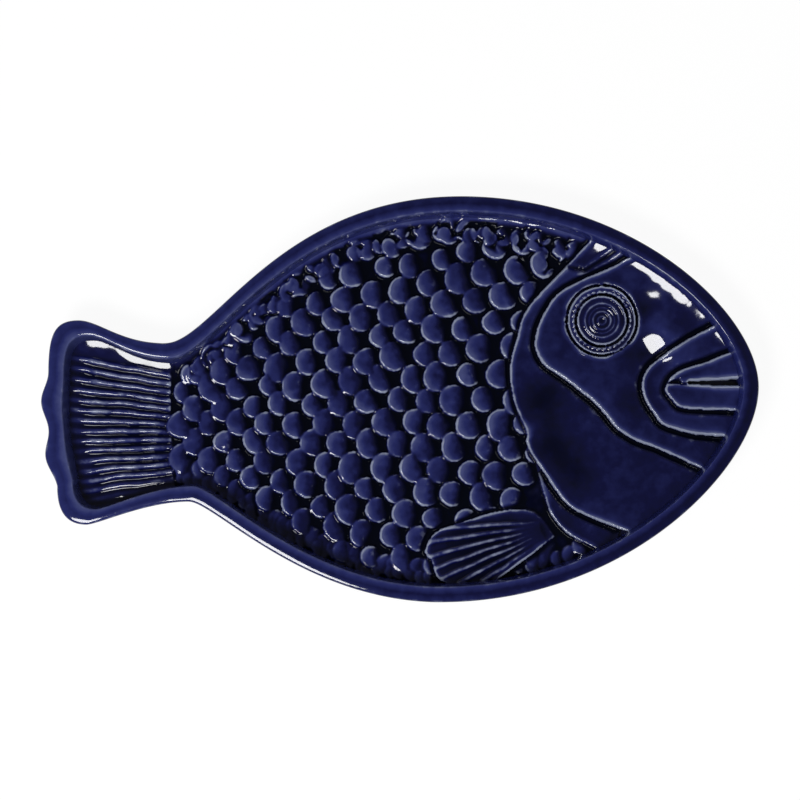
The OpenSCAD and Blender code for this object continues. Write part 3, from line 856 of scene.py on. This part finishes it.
class PLATTER_OT_coat(bpy.types.Operator):
    """Sets the scales, then lays one glaze coat over all the plates"""

    bl_idname = "platter.coat"
    bl_label = "Lay the coat"

    def execute(self, context):
        sizes = context.scene.platter_sizes
        glaze = cobalt_glaze(context.scene.platter_colours)
        well_line = level_loops("dish", FLOOR_Z)[0]
        n = len(well_line)
        moulds = {
            "Well": new_object("well", np.column_stack([well_line, np.zeros(n)]), [range(n)]),
            "Plates": self.plates(), "Edges": self.edges(well_line), "Scales": self.scales(sizes, glaze, well_line)}
        coat = new_object("coat", [(0, 0, 0)], [])
        low, high = CAD_BOX
        eye_low, eye_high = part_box("eye_ring")
        # an input of the tree with a size's name takes that size
        values = {size.name: getattr(sizes, size.identifier) for size in sizes.bl_rna.properties}
        values.update(moulds)
        values.update({
            "Length": high.x - low.x, "Width": high.y - low.y, "Floor": FLOOR_Z, "Seed": float(sizes.seed),
            "Eye": place_in("eye_ring", 0.5, 0.5), "Eye radius": (eye_high.x - eye_low.x) / 2, "Glaze": glaze})
        grown(coat, Coat().built(), values)
        for mould in moulds.values():
            bpy.data.objects.remove(mould)
        coat.hide_render = True
        return {"FINISHED"}

    def plates(self):
        """All plates as one mould, with their ranks."""
        # the coat has rings of its own in place of the eye's
        planed = 0.8 * MM
        points, faces, ranks = [], [], []
        for rank, name in enumerate(PLATES, 1):
            spots, triangles = merged(name)
            if name in EYE_PLATES:
                spots = np.minimum(spots, (1, 1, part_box(name)[1].z - planed))
            points.append(spots)
            faces.append(triangles + len(ranks))
            ranks += [rank] * len(spots)
        made = new_object("plates", np.concatenate(points), np.concatenate(faces))
        mark(made.data, "rank", ranks)
        return made

    def edges(self, well_line):
        """The free edges of the plates as lines with their plate's rank: not those along the wall or under a plate."""
        step, covered = 1.5 * MM, 0.25 * MM
        outlines = {name: level_loops(name, FLOOR_Z) for name in PLATES}
        points, lines, ranks = [], [], []
        for rank, name in enumerate(PLATES, 1):
            if name not in EDGED:
                continue
            higher = [loop for other in PLATES[rank:] for loop in outlines[other]]
            for loop in outlines[name]:
                loop = divided(loop, step)
                after = np.roll(loop, -1, 0)
                free = reach((loop + after) / 2, [well_line, *higher]) > covered
                for a, b in zip(loop[free], after[free]):
                    lines.append((len(points), len(points) + 1))
                    points += [(*a, 0), (*b, 0)]
                    ranks.append(rank)
        made = new_object("plate_edges", points, [], lines)
        mark(made.data, "rank", ranks, "EDGE")
        return made

    def button(self):
        """One scale as a round button: level from its free edge to the middle, then down to a low root."""
        points, faces = [(0.0, 0.0, BUTTON_TOP)], []
        start, end = BUTTON_SLANT
        for r, lift in BUTTON_RINGS:
            for k in range(BUTTON_SIDES):
                angle = 2 * math.pi * k / BUTTON_SIDES
                x, y = r * math.cos(angle), r * math.sin(angle)
                back = min(1, max(0, (x - start) / (end - start)))
                slant = (1 - BUTTON_FALL * (x + 1)) * (1 - back * back * (3 - 2 * back))
                points.append((x, y, max(BUTTON_ROOT, lift * slant) if lift > 0 else lift))
        for k in range(BUTTON_SIDES):
            after = (k + 1) % BUTTON_SIDES
            faces.append((0, 1 + k, 1 + after))
            for ring in range(len(BUTTON_RINGS) - 1):
                a, b = 1 + BUTTON_SIDES * ring + k, 1 + BUTTON_SIDES * ring + after
                faces.append((a, a + BUTTON_SIDES, b + BUTTON_SIDES, b))
        made = new_object("scale_button", points, faces)
        mark(made.data, "root", [min(1, (x + 1) / 2) for x, _, _ in points])
        return made

    def spots(self, sizes, well_line):
        """Place, half width, half height, rise and turn of each scale, in a staggered fan from behind the tail."""
        flank = level_loops("scales", FLOOR_Z)
        rng = np.random.default_rng(sizes.seed)
        pitch = sizes.scale_pitch
        first = FAN_START * pitch
        hub = np.array([TAIL_X - first - pitch / 5, FAN_Y])
        # how far a scale strays along its row and across it, and how much of a row's height it fills
        fore, beside, fill = 1.5 * MM, 1.2 * MM, 0.95
        made = []
        for row in range(-FAN_ROWS, FAN_ROWS + 1):
            for col in range(FAN_COLS):
                along, aside, big, high, skew, tall = rng.uniform(-1, 1, 6)
                run = first + (col + (row % 2) / 2) * pitch + fore * along
                turn = row * sizes.row_angle + beside * aside / run
                at = hub + run * np.array([math.cos(turn), math.sin(turn)])
                full = min(sizes.scale_r, fill * run * sizes.row_angle) * varied(FAN_SIZE, big)
                made.append([*at, full, full * varied(FAN_TALL, tall), sizes.scale_rise * varied(FAN_RISE, high),
                             turn + varied(FAN_TURN, skew)])
        # they get smaller towards the wall
        least, from_wall = 0.75, 30 * MM
        made = np.array(made)
        room = reach(made[:, :2], [well_line])
        made[:, 2:4] *= np.minimum(1, least + (1 - least) * room / from_wall)[:, None]
        made = made[room > made[:, 2]].tolist()
        # small ones crowd along the wall, the outer row by the belly alone, and lower there
        line = divided(well_line, HEM_STEP)
        ahead = np.roll(line, -1, 0) - line
        inward = np.sign(area(well_line)) * np.column_stack([-ahead[:, 1], ahead[:, 0]]) / np.hypot(*ahead.T)[:, None]
        for row, (inset, share) in enumerate(HEM_ROWS):
            hem = line + row / 2 * ahead + inset * inward
            wanted = inside(hem, flank) & ((hem[:, 1] < 0) | (row > 0))
            for spot in hem[wanted]:
                big, high, *aside, skew = rng.uniform(-1, 1, 5)
                turn = math.atan2(*(spot - hub)[::-1])
                full = share * sizes.scale_r * varied(HEM_SIZE, big)
                rise = sizes.scale_rise * varied(HEM_BACK if spot[1] > 0 else HEM_BELLY, high)
                made.append([*(spot + beside * np.array(aside)), full, full, rise, turn + varied(HEM_TURN, skew)])
        made = np.array(made)
        # none far over the tail, nor in the hollow behind the fin, nor off the flank
        tail_clear, fin_clear, overlap = 3 * MM, 15 * MM, 0.8
        made = made[made[:, 0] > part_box("tail_fan")[1].x + tail_clear]
        made = made[np.hypot(*(made[:, :2] - place_in(*FIN_ROOT)[:2]).T) > fin_clear]
        return made[inside(made[:, :2], flank) | (reach(made[:, :2], flank) < overlap * made[:, 2])]

    def scales(self, sizes, glaze, well_line):
        """The scales as a mould."""
        button, spots = self.button(), self.spots(sizes, well_line)
        field = new_object("scales_mould", np.column_stack([spots[:, :2], np.full(len(spots), FLOOR_Z)]), [])
        for name, values in zip(("half_width", "half_height", "rise", "turn"), spots[:, 2:].T):
            mark(field.data, name, values)
        grown(field, scale_field_tree(), {"Scale": button, "Glaze": glaze})
        bpy.data.objects.remove(button)
        return field


class PLATTER_OT_relief(bpy.types.Operator):
    """Cuts every plate of the fish, and the scaled flank, out of the coat"""

    bl_idname = "platter.relief"
    bl_label = "Cut the relief"

    def execute(self, context):
        sizes = context.scene.platter_sizes
        coat = bpy.data.objects["coat"]
        glaze = bpy.data.materials["cobalt_glaze"]
        tree = plate_tree()
        steps = {"scales": sizes.scale_step, **dict.fromkeys(EYE_PLATES, sizes.eye_step)}
        for name in [*PLATES, "scales"]:
            piece = flat_plate("glazed_" + name, level_loops(name, FLOOR_Z), steps.get(name, sizes.sheet_step))
            grown(piece, tree, {"Coat": coat, "Floor": FLOOR_Z, "Glaze": glaze})
            piece.data.attributes.remove(piece.data.attributes["top"])
            finish_piece(piece, name)
        return {"FINISHED"}


class PLATTER_OT_dish(bpy.types.Operator):
    """Draws the dish from its underside over the lip and down to the coat"""

    bl_idname = "platter.dish"
    bl_label = "Draw the dish"

    def execute(self, context):
        sizes = context.scene.platter_sizes
        # steps between two of the solid's points, and between those that tell the ring's inside
        fine, coarse = 8, 4
        crease = math.radians(50)
        lip = level_loops("dish", TOP_Z - sizes.lip_r)[0]
        outer = smooth_loop(lip, fine)
        inner = smooth_loop(self.matched(level_loops("dish", FLOOR_Z)[0], lip), fine)
        way = (inner - outer) / sizes.rim_w
        rows = self.rows(sizes, self.foot(inner))
        n = len(outer)
        points = np.concatenate([np.column_stack([outer + way * inset[:, None], z]) for inset, z, _, _ in rows])
        faces = []
        for r in range(len(rows) - 1):
            for k in range(n):
                a, b = r * n + k, r * n + (k + 1) % n
                faces.append((a, b, b + n, a + n))
        for r in (0, len(rows) - 1):
            ring = points[r * n:(r + 1) * n, :2]
            faces.extend(triangles_in(ring, [ring], [ring[::coarse]]) + r * n)
        dish = new_object("glazed_dish", points, faces)
        outward(dish.data)
        # painted shade: the glaze darkens from the tail towards the mouth, the end further from the lamp
        at_tail, gain = -0.4 * MM, 0.8 * MM
        share = (points[:, 0] - TAIL_X) / (NOSE_X - TAIL_X)
        thins = np.concatenate([np.full(n, thin) for *_, thin in rows])
        mark(dish.data, "pool", gain * share + at_tail - thins)
        mark(dish.data, "crest", np.concatenate([crest for _, _, crest, _ in rows]))
        dish.data.set_sharp_from_angle(angle=crease)
        dish.data.materials.append(bpy.data.materials["cobalt_glaze"])
        finish_piece(dish, "dish")
        bpy.data.objects.remove(bpy.data.objects["coat"])
        return {"FINISHED"}

    def foot(self, line):
        """The coat's height along a line by the wall."""
        coat = bpy.data.objects["coat"].data
        spots = column(coat.vertices, "co", 3)
        heights, wall = (column(coat.attributes[name].data, "value") for name in ("height", "wall"))
        close, count = 2 * MM, 4
        by_wall = np.flatnonzero(wall < close)
        tree = KDTree(len(by_wall))
        for k in by_wall:
            tree.insert(spots[k], k)
        tree.balance()
        return np.array([np.mean([heights[k] for _, k, _ in tree.find_n((x, y, 0), count)]) for x, y in line])

    def matched(self, loop, to):
        """A closed line started and turned as another one, point for point."""
        if area(loop) * area(to) < 0:
            loop = loop[::-1]
        if len(loop) != len(to):
            raise RuntimeError("the dish's floor and lip have different counts of points")
        shift = min(range(len(loop)), key=lambda s: float(np.sum((np.roll(loop, -s, 0) - to) ** 2)))
        return np.roll(loop, -shift, 0)

    def rows(self, sizes, foot):
        """The wall's profile: inset, height, crest and thinning of each row of points, from underside to floor."""
        n = len(foot)
        plain = []
        # steps in the base's rounding, the outer wall, the outer corner, the dome, the inner corner and the inner wall
        base_n, wall_n, corner_n, dome_n, brink_n, foot_n = 4, 9, 9, 11, 6, 6
        for a in np.linspace(0, math.pi / 2, base_n + 1):
            plain.append((sizes.base_in + sizes.base_round * (1 - math.sin(a)),
                          FOOT_H + sizes.base_round * (1 - math.cos(a)), 0.0, 0.0))
        # the rim's dome falls off to a rounded corner on either side: radii and tilts of the three arcs
        corner, brink = 1.3 * MM, 1.0 * MM
        under, outer, inner, steep = (math.radians(a) for a in (114, 11, -10, -80))
        # how far the glaze thins at the outer corner, at the dome's inner end and on the inner corner
        corner_thin, dome_thin, brink_thin = 0.3 * MM, 0.9 * MM, 1.1 * MM
        corner_line, brink_line = 0.14 * MM, 0.12 * MM
        start = corner * (1 - math.cos(math.pi / 2 - outer))
        dome = (sizes.rim_top - start) / (math.sin(outer) - math.sin(inner))
        z = TOP_Z - dome * (1 - math.cos(outer)) - corner * math.cos(outer)
        base_in, base_z, *_ = plain[-1]
        lip_in, lip_z = corner * (1 - math.sin(under)), z + corner * math.cos(under)
        for t in np.linspace(0, 1, wall_n + 1)[1:-1]:
            plain.append((base_in * (1 - t) + lip_in * t, base_z * (1 - t) + lip_z * t, 0.0, 0.0))
        for tilt in np.linspace(under, outer, corner_n + 1):
            drawn = corner_line * max(0, math.sin(2 * tilt)) if tilt > outer else 0
            plain.append((corner * (1 - math.sin(tilt)), z + corner * math.cos(tilt), drawn, corner_thin))
        even = 5
        for k, tilt in enumerate(np.linspace(outer, inner, dome_n + 1)[1:], 1):
            thin = corner_thin * max(0, 1 - k / even) + dome_thin * max(0, (k - even) / (dome_n - even))
            plain.append((start + dome * (math.sin(outer) - math.sin(tilt)), TOP_Z - dome * (1 - math.cos(tilt)),
                          0.0, thin))
        # the glaze draws off the inner corner
        dome_in, dome_z, *_ = plain[-1]
        for tilt in np.linspace(inner, steep, brink_n + 1)[1:]:
            plain.append((dome_in + brink * (math.sin(inner) - math.sin(tilt)),
                          dome_z - brink * (math.cos(inner) - math.cos(tilt)), brink_line, brink_thin))
        made = [(np.full(n, i), np.full(n, z), np.full(n, c), thin) for i, z, c, thin in plain]
        # down the wall and under the coat
        lip_in, lip_z, drawn, thin = plain[-1]
        tuck, sink = 0.5 * MM, 0.7 * MM
        toe = sizes.rim_w + tuck
        for t in np.linspace(0, 1, foot_n + 1)[1:]:
            made.append((np.full(n, lip_in + (toe - lip_in) * t), lip_z + (foot - sink - lip_z) * t,
                         np.full(n, drawn * max(0, 1 - 2 * t)), thin * (1 - 0.5 * t)))
        made.append((np.full(n, toe), np.full(n, FLOOR_Z), np.zeros(n), 0.0))
        return made


class PLATTER_OT_foot(bpy.types.Operator):
    """Gives the foot ring its bare clay"""

    bl_idname = "platter.foot"
    bl_label = "Finish the foot"

    def execute(self, context):
        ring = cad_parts["foot_ring"].data
        ring.materials.clear()
        ring.materials.append(bare_clay(context.scene.platter_colours))
        return {"FINISHED"}


class PLATTER_OT_stage(bpy.types.Operator):
    """Sets the floor, the light and the camera over the platter"""

    bl_idname = "platter.stage"
    bl_label = "Set the stage"

    def execute(self, context):
        scene = context.scene
        scene.view_settings.view_transform = "Standard"
        sides, radius = 64, 4
        ways = [2 * math.pi * k / sides for k in range(sides)]
        floor = new_object("floor", [(radius * math.cos(a), radius * math.sin(a), 0) for a in ways], [range(sides)])
        floor.data.materials.append(white_paper(scene.platter_colours))
        # a room with white walls low down and a dim ceiling
        walls, ceiling, walls_end, ceiling_start = 0.9, 0.09, 0.02, 0.3
        world = bpy.data.worlds.new("studio")
        world.use_nodes = True
        scene.world = world
        nodes = Nodes(world.node_tree)
        nodes.tree.nodes.clear()
        up = nodes.split(nodes.out("ShaderNodeTexCoord", socket="Generated"))["Z"]
        level = nodes.ranged(up, walls_end, ceiling_start, walls, ceiling)
        back = nodes.out("ShaderNodeBackground", inputs={"Color": (1, 1, 1, 1), "Strength": level})
        put(nodes.tree, "ShaderNodeOutputWorld", inputs={"Surface": back})
        # an oval softbox over the tail and the belly
        data = bpy.data.lights.new("belly_softbox", "AREA")
        data.shape = "ELLIPSE"
        data.size, data.size_y, data.energy = 0.44, 0.36, 7.6
        lamp = linked("belly_softbox", data)
        at, aim = Vector((-0.36, -0.48, 1.15)), Vector((0.03, 0.02, 0.0))
        lamp.location = at
        lamp.rotation_euler = (aim - at).to_track_quat("-Z", "Y").to_euler()
        data = bpy.data.cameras.new("camera")
        data.lens, data.sensor_width = 110, 36
        data.clip_start, data.clip_end = 0.05, 20
        camera = linked("camera", data)
        # the platter's length spans this much of the picture's width, in points
        span, picture = 717, 800
        away = (NOSE_X - TAIL_X) * picture / span * data.lens / data.sensor_width
        rise = math.radians(87)
        to_belly, under_lip = 0.75 * MM, 3 * MM
        target = Vector((0, -to_belly, TOP_Z - under_lip))
        camera.location = target + away * Vector((0, -math.cos(rise), math.sin(rise)))
        camera.rotation_euler = (math.pi / 2 - rise, 0, 0)
        scene.camera = camera
        return {"FINISHED"}


class PLATTER_PT_steps(bpy.types.Panel):
    bl_idname = "PLATTER_PT_steps"
    bl_label = "Fish platter"
    bl_space_type = "VIEW_3D"
    bl_region_type = "UI"
    bl_category = "Platter"

    def draw(self, context):
        for step in STEPS:
            self.layout.operator(step.bl_idname)
        for group in (context.scene.platter_sizes, context.scene.platter_colours):
            for name in group.__annotations__:
                self.layout.prop(group, name)


STEPS = (PLATTER_OT_coat, PLATTER_OT_relief, PLATTER_OT_dish, PLATTER_OT_foot, PLATTER_OT_stage)
CLASSES = (PlatterSizes, PlatterColours, *STEPS, PLATTER_PT_steps)


def register():
    for each in CLASSES:
        bpy.utils.register_class(each)
    bpy.types.Scene.platter_sizes = bpy.props.PointerProperty(type=PlatterSizes)
    bpy.types.Scene.platter_colours = bpy.props.PointerProperty(type=PlatterColours)


def unregister():
    del bpy.types.Scene.platter_colours
    del bpy.types.Scene.platter_sizes
    for each in reversed(CLASSES):
        bpy.utils.unregister_class(each)


def main():
    register()
    bpy.ops.platter.coat()
    bpy.ops.platter.relief()
    bpy.ops.platter.dish()
    bpy.ops.platter.foot()
    bpy.ops.platter.stage()


if __name__ == "__main__":
    main()
